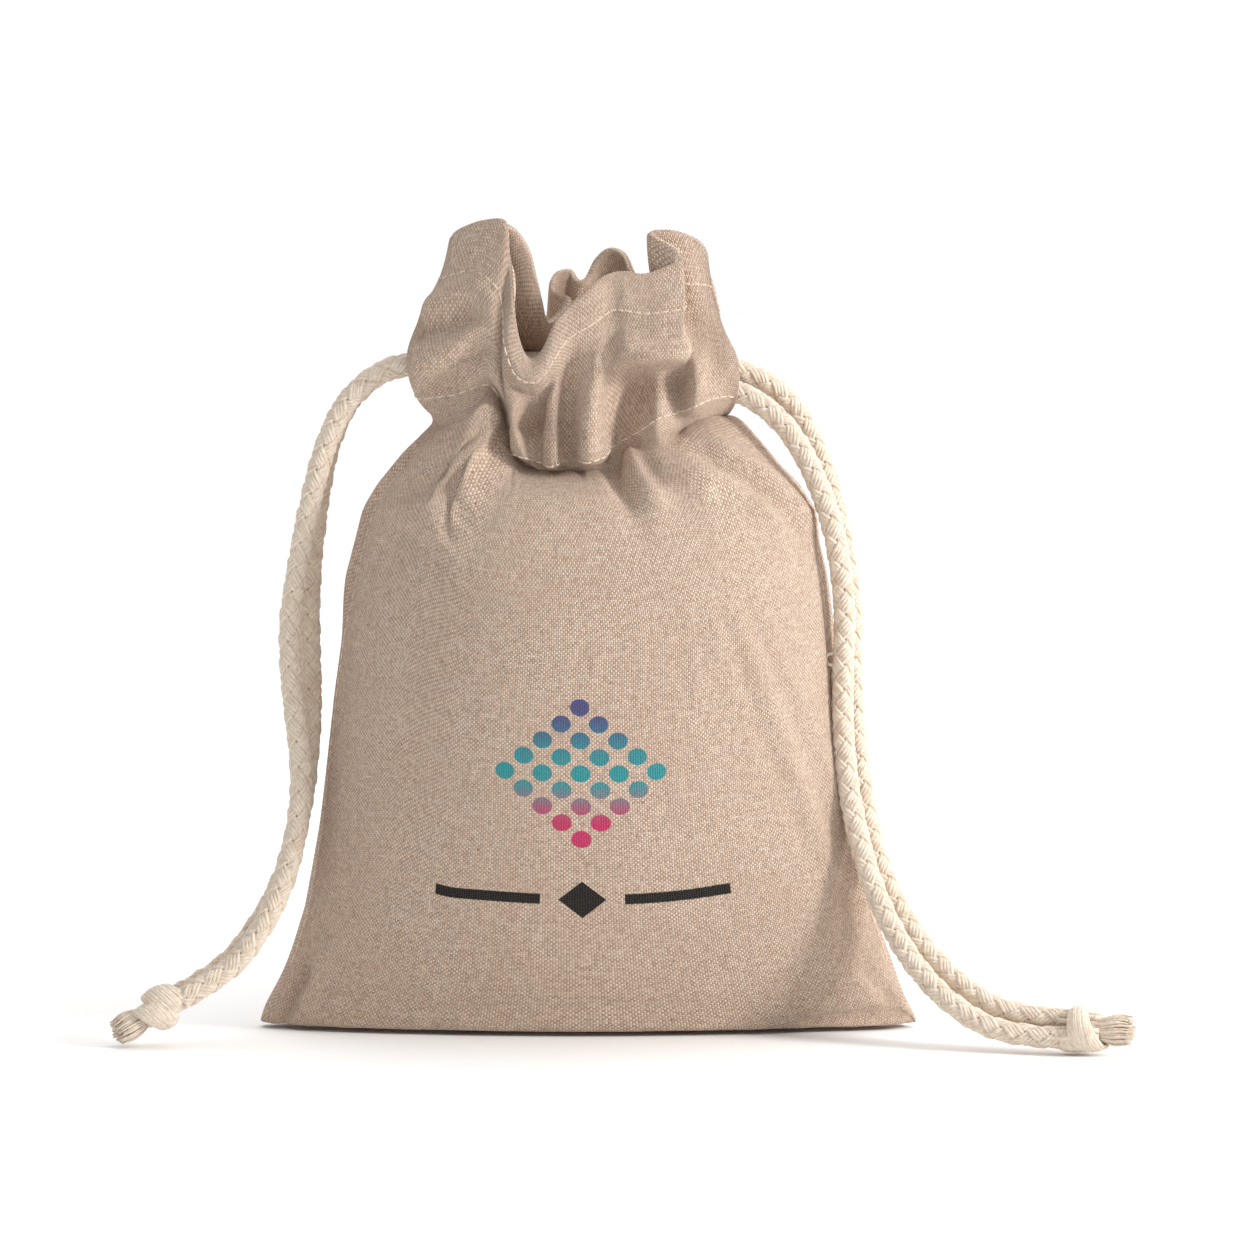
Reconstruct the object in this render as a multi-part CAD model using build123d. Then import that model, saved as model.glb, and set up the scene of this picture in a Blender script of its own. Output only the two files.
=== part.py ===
from build123d import *

# Drawstring gift sack: a flat-sewn cotton bag, 150 mm wide and 200 mm high before filling,
# standing full on its folded base with its neck half drawn.  Front and back panels are
# joined by two side seams and a bottom gusset.  Above the neck each side carries a casing,
# which is a flattened tube between two rows of stitches, and a ruffled header.  Two drawcords
# run through both casings.  Each is a loop whose two ends leave on the same side of the neck,
# hang beside the sack and are tied together in a knot, with the cut ends frayed.
#
# Millimetres.  +Z is up, +X is to the right of someone facing the front, and the front
# faces -Y.  The origin is the middle of the base, on the surface the sack stands on.
import math
import os

# Cloth and seams
CLOTH = 0.8              # modelled thickness of one layer of cloth
SEAM_ALLOWANCE = 6.0     # width of the turned-in cloth along each side seam
THREAD = 0.45            # thickness of a stitch
STITCH_PITCH = 3.2       # from one stitch to the next
STITCH_LENGTH = 2.3

# Filled body, from the top of the gusset to the neck.
# Each level: height, centre, half width, half depth, and the squareness of its outline,
# where 2 is an ellipse, less is pointed at the sides, and more is squarer.
GUSSET_TOP = 1.0
NECK_Z = 142.0
BODY_LEVELS = (
    (GUSSET_TOP, 0.0, 75.0, 15.0, 1.7),
    (12.0, 0.0, 70.5, 21.5, 1.9),
    (26.0, -0.5, 64.5, 29.0, 2.1),
    (48.0, -1.0, 59.5, 35.0, 2.1),
    (78.0, -2.0, 54.5, 37.5, 2.1),
    (103.0, -0.5, 52.5, 38.2, 2.1),
    (120.0, -0.5, 48.5, 33.0, 2.1),
    (132.0, -1.5, 42.0, 24.0, 2.3),
    (NECK_Z, -3.0, 35.0, 10.6, 3.2),
)
OUTLINE_POINTS = 28
BEYOND = 400.0           # further than the sack reaches on any side

# Casing and header
CASING_LEFT = -30.0
CASING_RIGHT = 24.0
CASING_MIDDLE_Y = 10.2   # from the middle of the neck to the middle of each casing
CASING_THICK = 8.4
CASING_HEIGHT = 30.5
CASING_ROUND = 3.2
HEADER_HEIGHT = 11.0
HEADER_THICK = 1.2       # the hem is turned, so two layers
HEADER_WAVES = 3.5
HEADER_WAVE = 3.0        # how far the ruffle swings each way

# Drawcords
CORD = 5.0
LEFT_CORD_Z = 152.4
RIGHT_CORD_Z = 146.8
SPLIT_INSIDE = 3.0       # the turn at the far side stays put from this far inside the casing
SPLIT_GAP = 0.3
TAIL_START = 2.0         # a tail starts this far inside the casing's end
KNOT_RADIUS = 5.4
KNOT_LENGTH = 9.0
KNOT_ROUND = 2.0
ENDS_RADIUS = 3.0        # the two frayed ends, as one bundle
ENDS_LENGTH = 7.0
STRAND_APART = 2.65      # from the knot's axis to each strand
ARC_SHARE = 0.45         # share of the shorter run that each bend takes up

# The knots: centre, the direction the cord arrives in, and the way its strands lie apart.
LEFT_KNOT = Vector(-95.5, -25.0, 8.2)
LEFT_INTO_KNOT = Vector(-0.85, -0.25, -0.46)
LEFT_APART = Vector(0.25, -0.97, 0.0)
RIGHT_KNOT = Vector(109.5, -37.0, 5.5)
RIGHT_INTO_KNOT = Vector(0.97, -0.22, 0.0)
RIGHT_APART = Vector(0.0, -0.74, -0.67)

# The free strands, from the first bend outside the casing to the last before the knot.
# Each runs straight along X until it is clear of the other cord's turn.
LEFT_FRONT_ROUTE = (
    (-44.5, -CASING_MIDDLE_Y, LEFT_CORD_Z), (-54, -9.7, 146.4), (-59, -8.8, 136),
    (-62, -8, 123), (-65, -8, 108), (-67.6, -9, 92), (-66.4, -11, 76), (-64.2, -13, 60),
    (-65.5, -15.5, 45), (-69.2, -18.8, 32.5), (-75.0, -21.5, 22.5),
)
LEFT_BACK_ROUTE = (
    (-44.5, CASING_MIDDLE_Y, LEFT_CORD_Z), (-54, 8.8, 146.4), (-58.5, 6, 136),
    (-61, 3, 123), (-62.8, 0, 108), (-63.4, -2, 92), (-62.6, -4, 76),
    (-63.4, -7.0, 60), (-66.0, -9.5, 45), (-69.7, -12.5, 33), (-76, -15.7, 23),
)
RIGHT_FRONT_ROUTE = (
    (33, -CASING_MIDDLE_Y, RIGHT_CORD_Z), (44, -11, 140.5), (51.0, -10.8, 129),
    (56, -10, 114), (58.4, -9.5, 97), (57.6, -10, 80.5), (57.8, -12, 64.5), (60.3, -15, 48),
    (65, -19.5, 32), (72.5, -25, 18.5), (82, -31.5, 9),
)
RIGHT_BACK_ROUTE = (
    (33, CASING_MIDDLE_Y, RIGHT_CORD_Z), (44.5, 9.5, 141.5), (52.0, 7, 131),
    (57.3, 4, 116.5), (60.2, 1, 100), (60.2, -2.5, 83.5), (60.8, -6, 67), (62.8, -9.5, 51.5),
    (66.5, -13.5, 37), (72.8, -18.5, 24.5), (81.5, -25, 15),
)
LAST_RUN = 12.0          # straight run into the knot


def outline(z, centre, half_width, half_depth, squareness):
    """Closed outline of the body at one level."""
    points = []
    for i in range(OUTLINE_POINTS):
        angle = 2 * math.pi * i / OUTLINE_POINTS
        c, s = math.cos(angle), math.sin(angle)
        x = math.copysign(abs(c) ** (2 / squareness), c) * half_width + centre
        y = math.copysign(abs(s) ** (2 / squareness), s) * half_depth
        points.append((x, y, z))
    return Face(Wire([Edge.make_spline(points, periodic=True)]))


def body_form(inset):
    """The filled body as one solid, drawn in all round by the inset."""
    return loft([
        outline(z, centre, half_width - inset, half_depth - inset, squareness)
        for z, centre, half_width, half_depth, squareness in BODY_LEVELS
    ])


def half_space(side):
    """A block that holds everything in front of the side seams, or behind them."""
    return Pos(0, side * BEYOND / 2, 0) * Box(2 * BEYOND, BEYOND, 2 * BEYOND)


def bottom_gusset():
    """The folded base, as the flat cloth that the sack stands on."""
    z, centre, half_width, half_depth, squareness = BODY_LEVELS[0]
    return extrude(outline(0, centre, half_width, half_depth, squareness), GUSSET_TOP)


def seam_line(side, inset):
    """Points up one side of the body in the plane of the side seams, drawn in by the inset."""
    return [
        Vector(centre + side * (half_width - inset), 0, z)
        for z, centre, half_width, half_depth, squareness in BODY_LEVELS
    ]


def seam_allowance(inner, side):
    """The two turned-in edges of one side seam, lying flat inside the sack."""
    near, far = seam_line(side, 0), seam_line(side, SEAM_ALLOWANCE)
    edges = [
        Edge.make_spline(near),
        Edge.make_line(near[-1], far[-1]),
        Edge.make_spline(far[::-1]),
        Edge.make_line(far[0], near[0]),
    ]
    return extrude(Face(Wire(edges)), CLOTH, dir=(0, 1, 0), both=True) & inner


def seam_stitches(side):
    """The thread along one side seam: stitches that lie on the allowance's front face."""
    line = Edge.make_spline(seam_line(side, SEAM_ALLOWANCE / 2))
    count = int((line.length - 2 * SEAM_ALLOWANCE) / STITCH_PITCH)
    stitch = Box(THREAD, THREAD, STITCH_LENGTH)
    stitches = []
    for i in range(count):
        middle = line.position_at((SEAM_ALLOWANCE + i * STITCH_PITCH) / line.length)
        stitches.append(Pos(middle.X, -CLOTH - THREAD / 2, middle.Z) * stitch)
    return Compound(stitches)


def casing(side):
    """A flattened tube of cloth, open at both ends, for the cords to run through."""
    middle_z = NECK_Z + CASING_HEIGHT / 2
    length = CASING_RIGHT - CASING_LEFT
    place = Plane(
        origin=(CASING_LEFT, side * CASING_MIDDLE_Y, middle_z), x_dir=(0, 1, 0), z_dir=(1, 0, 0)
    )
    outer = extrude(place * RectangleRounded(CASING_THICK, CASING_HEIGHT, CASING_ROUND), length)
    hollow = extrude(
        place * RectangleRounded(
            CASING_THICK - 2 * CLOTH, CASING_HEIGHT - 2 * CLOTH, CASING_ROUND - CLOTH
        ),
        length,
    )
    return outer - hollow


def header(side):
    """The ruffle above the casing: a strip of turned hem that waves from side to side."""
    length = CASING_RIGHT - CASING_LEFT
    steps = 28
    near, far = [], []
    for i in range(steps + 1):
        share = i / steps
        x = CASING_LEFT + share * length
        swing = HEADER_WAVE * math.sin(2 * math.pi * HEADER_WAVES * share)
        y = side * CASING_MIDDLE_Y + swing
        near.append((x, y - HEADER_THICK / 2))
        far.append((x, y + HEADER_THICK / 2))
    edges = [
        Edge.make_spline([Vector(*p, 0) for p in near]),
        Edge.make_line(Vector(*near[-1], 0), Vector(*far[-1], 0)),
        Edge.make_spline([Vector(*p, 0) for p in reversed(far)]),
        Edge.make_line(Vector(*far[0], 0), Vector(*near[0], 0)),
    ]
    strip = Face(Wire(edges))
    return Pos(0, 0, NECK_Z + CASING_HEIGHT) * extrude(strip, HEADER_HEIGHT)


def stitch_row(side, z):
    """A row of stitches along the outer face of one casing."""
    y = side * (CASING_MIDDLE_Y + CASING_THICK / 2 + THREAD / 2)
    count = int((CASING_RIGHT - CASING_LEFT - STITCH_PITCH) / STITCH_PITCH)
    first = (CASING_LEFT + CASING_RIGHT - (count - 1) * STITCH_PITCH) / 2
    return Compound([
        Pos(first + i * STITCH_PITCH, y, z) * Box(STITCH_LENGTH, THREAD, THREAD)
        for i in range(count)
    ])


def cord_along(points, radii, name):
    """A round cord along straight runs joined by tangent arcs."""
    line = FilletPolyline(*points, radius=radii)
    profile = Plane(origin=line @ 0, z_dir=line % 0) * Circle(CORD / 2)
    tube = sweep(profile, path=line)
    expected = math.pi * (CORD / 2) ** 2 * line.length
    print(
        name, "length", round(line.length, 1), "radii", [round(r, 1) for r in radii],
        "volume over section times length", round(tube.volume / expected, 4),
    )
    return tube


def bend_radii(points):
    """The radius at each bend, as large as its two runs allow."""
    points = [Vector(*p) for p in points]
    radii = []
    for before, here, after in zip(points, points[1:], points[2:]):
        one, two = here - before, after - here
        turn = math.radians(one.get_angle(two))
        radii.append(ARC_SHARE * min(one.length, two.length) / math.tan(turn / 2))
    return radii


def cord_turn(end_x, side, z, name):
    """The turn of a drawcord round the far side of the neck, from casing to casing."""
    start_x = end_x - side * (SPLIT_INSIDE - SPLIT_GAP)
    turn_x = end_x + side * CASING_MIDDLE_Y
    points = [
        (start_x, -CASING_MIDDLE_Y, z), (turn_x, -CASING_MIDDLE_Y, z),
        (turn_x, CASING_MIDDLE_Y, z), (start_x, CASING_MIDDLE_Y, z),
    ]
    return cord_along(points, [CASING_MIDDLE_Y - 0.05] * 2, name)


def inner_run(split_x, tail_x, y, z):
    """The straight stretch of a drawcord that slides out of the casing when it is pulled."""
    low, high = sorted((split_x, tail_x))
    return Pos((low + high) / 2, y, z) * Rot(0, 90, 0) * Cylinder(CORD / 2, high - low)


def tail(start_x, route, knot, into, apart, sign, name):
    """One free strand, from just inside the casing's end to the knot's flat face."""
    into, apart = into.normalized(), apart.normalized()
    apart = (apart - into * apart.dot(into)).normalized()
    end = knot - into * (KNOT_LENGTH / 2) + apart * (sign * STRAND_APART)
    first = (start_x, *route[0][1:])
    points = [first, *route, tuple(end - into * LAST_RUN), tuple(end)]
    return cord_along(points, bend_radii(points), name)


def knot_solid(knot, into):
    """The overhand knot as a barrel: flat where the strands arrive, rounded beyond."""
    place = Plane(origin=knot - into.normalized() * (KNOT_LENGTH / 2), z_dir=into)
    barrel = extrude(place * Circle(KNOT_RADIUS), KNOT_LENGTH)
    rims = barrel.edges().filter_by(GeomType.CIRCLE)
    far_rim = rims.sort_by(Axis(knot, into))[-1]
    return fillet(far_rim, KNOT_ROUND)


def cord_ends(knot, into):
    """The two frayed ends beyond the knot, as one bundle."""
    place = Plane(origin=knot + into.normalized() * (KNOT_LENGTH / 2), z_dir=into)
    return extrude(place * Circle(ENDS_RADIUS), ENDS_LENGTH)


def cloth_parts():
    outer, inner = body_form(0), body_form(CLOTH)
    shell = outer - inner
    header_z = NECK_Z + CASING_HEIGHT - CASING_ROUND - THREAD
    casing_z = NECK_Z + CASING_ROUND + THREAD
    return {
        "front_panel": shell & half_space(-1),
        "back_panel": shell & half_space(1),
        "bottom_gusset": bottom_gusset(),
        "front_casing": casing(-1),
        "back_casing": casing(1),
        "front_header": header(-1),
        "back_header": header(1),
        "left_seam_allowance": seam_allowance(inner, -1),
        "right_seam_allowance": seam_allowance(inner, 1),
        "left_seam_stitches": seam_stitches(-1),
        "right_seam_stitches": seam_stitches(1),
        "front_header_stitches": stitch_row(-1, header_z),
        "back_header_stitches": stitch_row(1, header_z),
        "front_casing_stitches": stitch_row(-1, casing_z),
        "back_casing_stitches": stitch_row(1, casing_z),
    }


def cord_parts():
    y = CASING_MIDDLE_Y
    left_tail_x, right_tail_x = CASING_LEFT + TAIL_START, CASING_RIGHT - TAIL_START
    left_split_x, right_split_x = CASING_RIGHT - SPLIT_INSIDE, CASING_LEFT + SPLIT_INSIDE
    left = (LEFT_KNOT, LEFT_INTO_KNOT, LEFT_APART)
    right = (RIGHT_KNOT, RIGHT_INTO_KNOT, RIGHT_APART)
    return {
        "left_cord_turn": cord_turn(CASING_RIGHT, 1, LEFT_CORD_Z, "left turn"),
        "right_cord_turn": cord_turn(CASING_LEFT, -1, RIGHT_CORD_Z, "right turn"),
        "left_cord_front_inner": inner_run(left_split_x, left_tail_x, -y, LEFT_CORD_Z),
        "left_cord_back_inner": inner_run(left_split_x, left_tail_x, y, LEFT_CORD_Z),
        "right_cord_front_inner": inner_run(right_split_x, right_tail_x, -y, RIGHT_CORD_Z),
        "right_cord_back_inner": inner_run(right_split_x, right_tail_x, y, RIGHT_CORD_Z),
        "left_cord_front_tail": tail(left_tail_x, LEFT_FRONT_ROUTE, *left, 1, "left front"),
        "left_cord_back_tail": tail(left_tail_x, LEFT_BACK_ROUTE, *left, -1, "left back"),
        "right_cord_front_tail": tail(right_tail_x, RIGHT_FRONT_ROUTE, *right, 1, "right front"),
        "right_cord_back_tail": tail(right_tail_x, RIGHT_BACK_ROUTE, *right, -1, "right back"),
        "left_knot": knot_solid(LEFT_KNOT, LEFT_INTO_KNOT),
        "right_knot": knot_solid(RIGHT_KNOT, RIGHT_INTO_KNOT),
        "left_cord_ends": cord_ends(LEFT_KNOT, LEFT_INTO_KNOT),
        "right_cord_ends": cord_ends(RIGHT_KNOT, RIGHT_INTO_KNOT),
    }


def main():
    os.makedirs("parts", exist_ok=True)
    for name, shape in {**cloth_parts(), **cord_parts()}.items():
        export_step(shape, f"parts/{name}.step")


main()
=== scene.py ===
"""Looks of the drawstring gift sack, around its CAD frame.

The objects are in metres and in the frame of the CAD: +Z up, the front faces -Y, and the origin
is the middle of the base.  The measures below are in mm, but for the camera's and those times
MM, which are in metres.  The cloth is laid out up to its gathered neck, and a cloth
simulation with the flat pouch as its rest shape then settles it round its filling.
"""

import math
import random

import bmesh
import bpy
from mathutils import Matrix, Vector


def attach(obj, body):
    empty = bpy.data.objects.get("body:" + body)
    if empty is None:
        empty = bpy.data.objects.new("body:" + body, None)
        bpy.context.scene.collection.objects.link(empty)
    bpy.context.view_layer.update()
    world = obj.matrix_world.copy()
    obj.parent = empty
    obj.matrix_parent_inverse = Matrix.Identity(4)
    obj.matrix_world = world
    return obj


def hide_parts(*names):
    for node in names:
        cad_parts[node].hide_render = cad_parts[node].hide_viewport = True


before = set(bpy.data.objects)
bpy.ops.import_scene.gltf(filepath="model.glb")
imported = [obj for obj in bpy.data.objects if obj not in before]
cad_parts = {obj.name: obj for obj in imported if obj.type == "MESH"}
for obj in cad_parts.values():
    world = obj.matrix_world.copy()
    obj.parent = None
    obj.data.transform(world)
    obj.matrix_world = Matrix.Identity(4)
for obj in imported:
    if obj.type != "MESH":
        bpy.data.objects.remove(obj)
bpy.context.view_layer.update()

MM = 0.001

# Camera: it looks at the middle of the sack from a little above.
VIEW_TARGET = Vector((0.0066, 0.0, 0.0941))
VIEW_DISTANCE = 1.15
VIEW_WIDTH = 0.2806
VIEW_ELEVATION = math.radians(5.0)
DIM_SIDE = 0.06          # the studio's brightness on the left
DIM_FRONT = 0.17         # and its share at the front
BACKDROP = 1.02
OVERHEAD = 0.75
FLOOR_REACH = 6.0        # metres from the middle of the floor to its edge
FLOOR_Z = -0.0002

# The flat pouch.
FLAT_WIDTH = 150.0       # across one panel, in mm
FLAT_HEIGHT = 205.0
CLOTH = 0.8              # thickness
COLUMNS = 84             # cells across one panel
ROWS = 116
BASE_DEPTH = 15.0        # half depth of the base, in mm
BASE_POWER = 1.7
CASING_BOTTOM = 36.0     # below the top edge, along the cloth
SIDES_OPEN = 43.0        # front and back part at the side seams above this depth
HEADER_BOTTOM = 9.0
NECK_RIB_END = 48.0      # the ribs reach this far below the top edge
SEAM_INSET = 3.4         # the side seams' stitches lie this far in from the edge
SEAM_BOTTOM = 20.0
SEAM_LENGTH = 134.0
SIM_SCALE = 10.0         # the simulation runs ten times larger, where its gaps are small
SIM_FRAMES = 40
SIM_GAP = 0.002          # between the cloth and what it lies on, in metres at that scale

# Filled body: height, centre, half width, half depth, squareness, in mm.
BODY_LEVELS = (
    (0.6, 0.0, 76.5, 15.0, 1.7),
    (12.0, 0.0, 70.5, 19.5, 1.8),
    (26.0, -0.4, 65.2, 26.0, 2.0),
    (48.0, -0.6, 61.0, 34.0, 2.1),
    (78.0, -1.0, 57.2, 38.0, 2.1),
    (103.0, 0.0, 54.5, 38.0, 2.1),
    (120.0, 1.0, 51.0, 33.0, 2.1),
    (132.0, 0.5, 44.0, 23.0, 2.1),
    (138.0, -0.5, 37.0, 12.0, 2.2),
)

# The gathered neck as ribs of cloth, in mm.  Each rib: its place round the flat pouch from
# the left seam, then a point for each of RIB_DEPTHS below the top edge.
RIB_DEPTHS = (48.0, 36.0, 27.0, 17.0, 8.0, 0.0)
FRONT_RIBS = (
    (0, (-33.5, 0, 139), (-38.5, -5.5, 146.5), (-40.5, -12, 154),
     (-37.5, -10, 163), (-33, -6.5, 172), (-31, -4.5, 180.5)),
    (9, (-32, -8, 137), (-38.0, -9.5, 144.0), (-39.2, -14, 152.5),
     (-36.0, -12, 162), (-31.8, -8, 172.3), (-29.2, -6.2, 182.2)),
    (19, (-27.5, -17.5, 139.5), (-30, -13.0, 145.0), (-31, -17, 151.5),
     (-27.5, -16, 162.5), (-25, -13, 174), (-23.7, -11.5, 184.2)),
    (29, (-22.5, -19.0, 143.5), (-22.2, -15.0, 147.5), (-22.0, -19.0, 152.5),
     (-21.5, -20.5, 158.5), (-19.8, -18, 170.5), (-18.0, -15.5, 184.0)),
    (34, (-19.2, -16.5, 141), (-18.6, -11.5, 142), (-18.5, -17.0, 144),
     (-19.0, -19.5, 153.5), (-18.6, -18.8, 164.5), (-17.2, -16.5, 176)),
    (45, (-17, -10.5, 131), (-16.8, -12.5, 133), (-17.5, -17, 140.5),
     (-18.6, -21.0, 149.5), (-18.2, -22, 157.5), (-16.4, -20.5, 166.5)),
    (53, (-15.5, -10.5, 130), (-15.8, -18, 132), (-15.6, -20.5, 138.5),
     (-15.8, -18.5, 146.0), (-16.2, -23, 151.0), (-14.9, -21.5, 158)),
    (60, (-13, -10.5, 129.5), (-13.0, -20.5, 130.6), (-12.5, -16.0, 137),
     (-12.5, -14.5, 143.5), (-13.2, -23, 148.8), (-12.8, -21.5, 153.8)),
    (66, (-10.5, -10.5, 129), (-10, -17, 130.0), (-9.5, -13.8, 138),
     (-9.5, -15.0, 144.5), (-10.2, -23.2, 149.8), (-10.2, -21.5, 155.4)),
    (73, (-7, -10.5, 128.8), (-7, -21.0, 129.8), (-7, -19.0, 138.5),
     (-7, -18, 148), (-7.4, -22.2, 154), (-7.2, -20.3, 161.5)),
    (79, (-4, -10, 128.5), (-4.2, -16.5, 130.3), (-4.0, -15.2, 139.5),
     (-4.2, -17.0, 150.5), (-4.2, -20.0, 158.5), (-4.0, -18.8, 165.3)),
    (87, (0.5, -10, 128.5), (0.5, -22, 130.8), (1.0, -20.8, 141),
     (1.2, -18.5, 153), (1.2, -19.0, 162), (1.2, -18, 169.8)),
    (95, (5, -10.5, 129.5), (4.8, -18.5, 131.6), (5.0, -17.5, 142.5),
     (5, -18.0, 154.5), (5.4, -16.6, 165), (5.4, -16, 172.4)),
    (101, (8, -10.5, 131), (7.6, -11.0, 134.5), (7.8, -11.0, 146.5),
     (8, -20.0, 155.8), (8.5, -17.5, 165), (8.5, -16, 172.9)),
    (108, (11.5, -12, 132.5), (12.5, -16.0, 137.5), (12.0, -10.5, 148.5),
     (12.5, -22, 154.5), (13, -18, 164.5), (12.5, -16.5, 172.3)),
    (115, (15.5, -16, 133), (16.0, -18.5, 140.0), (16.2, -14.0, 149.5),
     (17, -22.4, 154.8), (17.5, -18.8, 165), (17, -16, 173.8)),
    (122, (19.5, -11, 135.5), (20.5, -13.0, 141.0), (21, -10.0, 149.5),
     (22.3, -20.8, 155.2), (22.2, -17.8, 166.5), (21.6, -14.2, 176.9)),
    (130, (22.5, -9, 138), (24.0, -16.0, 142.5), (24.0, -16.5, 150.5),
     (22.5, -12.5, 158.5), (15.5, -9.5, 171), (14.4, -8.5, 181.4)),
    (138, (26.5, -7.5, 139), (27.8, -13.0, 144.0), (28.0, -13, 152),
     (26.5, -11.5, 160.5), (23, -9.5, 171), (19.8, -7.5, 181.9)),
    (145, (30.0, -4.5, 139.5), (32.0, -9.5, 144.5), (32, -12.8, 152.5),
     (29.8, -11, 161), (27.0, -8.0, 170.5), (25.6, -6, 179.5)),
    (150, (32, 0, 139.5), (33.8, -8.5, 143.5), (34.2, -12, 152.5),
     (30.5, -11, 160.5), (28.2, -8.5, 169), (27.4, -6, 176.2)),
)
BACK_RIBS = (
    (150, (32, 0, 139.5), (33.6, 8.5, 143.5), (33.4, 12, 153),
     (30.0, 11, 161), (28.0, 9, 169), (26.5, 6, 175.5)),
    (160, (28.5, 7, 139), (31, 11, 144), (30, 14, 152.5),
     (27, 12, 161.0), (24, 10, 168.5), (21, 8, 174.5)),
    (170, (22, 10, 137), (23, 15, 141), (22, 17, 150),
     (19, 14, 158), (16, 12, 165), (14, 9.5, 170.5)),
    (179, (17, 10, 136.5), (17.5, 12, 140), (17, 13.5, 150),
     (14.5, 13, 159), (12.5, 12, 166.5), (11.2, 11, 171.8)),
    (188, (11, 10, 136), (11, 17, 138.5), (10.5, 18, 148.5),
     (10, 17, 159), (9.5, 15.5, 169), (8.9, 13, 176.6)),
    (196, (6.5, 10.5, 135.5), (6.5, 13, 138), (6, 13.5, 148),
     (5.5, 15, 159), (5, 15.5, 169.5), (4.8, 15, 177.6)),
    (204, (2, 10.5, 135.5), (2, 17.5, 138), (1.5, 18, 148),
     (1.5, 16.5, 158), (1.2, 15, 167.5), (1.2, 14.5, 174.6)),
    (212, (-2.5, 10.5, 135.5), (-2.5, 13, 138), (-2.2, 13, 148),
     (-2, 13, 157), (-1.8, 12, 164), (-1.4, 11.5, 170.2)),
    (219, (-7, 10.5, 136), (-7, 17.5, 138.5), (-6, 17.5, 148),
     (-5, 14.5, 157), (-4.4, 13.5, 165.5), (-3.8, 13.0, 172.8)),
    (226, (-11, 10.5, 136), (-11, 13, 138.5), (-10, 13, 148),
     (-9, 12.5, 157), (-8.6, 11.8, 164.5), (-8.0, 11.0, 171.8)),
    (233, (-14.5, 10.5, 136), (-15, 17.5, 139), (-13.5, 17, 149),
     (-10.5, 10, 155.5), (-9.2, 6.5, 161.5), (-8.6, 5.5, 168.0)),
    (240, (-18, 10.5, 136.5), (-19, 13, 140), (-17, 12, 149.5),
     (-11, 6.5, 154.5), (-6.5, 3.5, 160), (-4.6, 3.2, 166.6)),
    (249, (-22, 10.5, 137), (-23, 17, 141), (-20.5, 14, 150.5),
     (-14.5, 4, 154), (-10.8, -1.0, 157.5), (-9.6, -3.0, 161.5)),
    (258, (-26, 10, 137.5), (-27.5, 13.5, 142), (-25, 13, 151.5),
     (-18.5, 1.5, 157), (-13, -6.5, 163), (-11.2, -9.5, 169.8)),
    (267, (-29, 9, 137.5), (-31.5, 16, 143), (-30, 14.5, 152.5),
     (-23.5, 1.5, 162), (-16.0, -9.0, 171), (-13.0, -12.0, 178.0)),
    (278, (-31.5, 6.5, 138), (-35, 12.5, 144.5), (-35, 14, 153),
     (-29, 3.5, 163.5), (-22.5, -6.5, 174.5), (-17.2, -13.8, 183.4)),
    (289, (-33, 3, 138.5), (-37.5, 8.5, 146), (-38.6, 13, 154),
     (-34.5, 7, 163.5), (-28.5, -1.5, 174), (-24.0, -8.5, 183.4)),
    (300, (-33.5, 0, 139), (-38.5, 5.5, 146.5), (-40.8, 12, 154.5),
     (-37, 8, 163.5), (-32.0, 1, 173), (-28.5, -5, 182)),
)

# Drawcords: the routes of the CAD, in mm.
CORD = 5.0               # diameter
LEFT_CORD_Z = 152.4
RIGHT_CORD_Z = 146.8
KNOT_LENGTH = 9.0
STRAND_APART = 2.65      # from the middle of a knot to the middle of each cord in it
LAST_RUN = 12.0          # each cord runs straight into its knot for this long
LEFT_KNOT = Vector((-95.5, -25.0, 8.2))
LEFT_INTO_KNOT = Vector((-0.85, -0.25, -0.46))
LEFT_APART = Vector((0.25, -0.97, 0.0))
RIGHT_KNOT = Vector((109.5, -37.0, 5.5))
RIGHT_INTO_KNOT = Vector((0.97, -0.22, 0.0))
RIGHT_APART = Vector((0.0, -0.74, -0.67))
LEFT_FRONT_ROUTE = (
    (-28, -6.5, LEFT_CORD_Z),
    (-42.5, -7.0, LEFT_CORD_Z), (-53, -8.7, 145.6), (-58.6, -8.8, 135),
    (-62, -8, 123), (-65, -8, 108), (-67.6, -9, 92), (-66.4, -11, 76), (-64.2, -13, 60),
    (-65.5, -15.5, 45), (-69.2, -18.8, 32.5), (-75.0, -21.5, 22.5),
)
LEFT_BACK_ROUTE = (
    (-28, 6.5, LEFT_CORD_Z),
    (-42.5, 6.5, LEFT_CORD_Z), (-53, 6.5, 145.6), (-58.5, 5, 135),
    (-61, 3, 123), (-62.8, 0, 108), (-63.4, -2, 92), (-62.6, -4, 76),
    (-63.4, -7.0, 60), (-66.0, -9.5, 45), (-69.7, -12.5, 33), (-76, -15.7, 23),
)
RIGHT_FRONT_ROUTE = (
    (22, -4.5, RIGHT_CORD_Z),
    (33, -4.5, RIGHT_CORD_Z), (44, -8, 139.5), (51.0, -9.8, 128),
    (56, -10, 114), (58.4, -9.5, 97), (57.6, -10, 80.5), (57.8, -12, 64.5), (60.3, -15, 48),
    (65, -19.5, 32), (72.5, -25, 18.5), (82, -31.5, 9),
)
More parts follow.
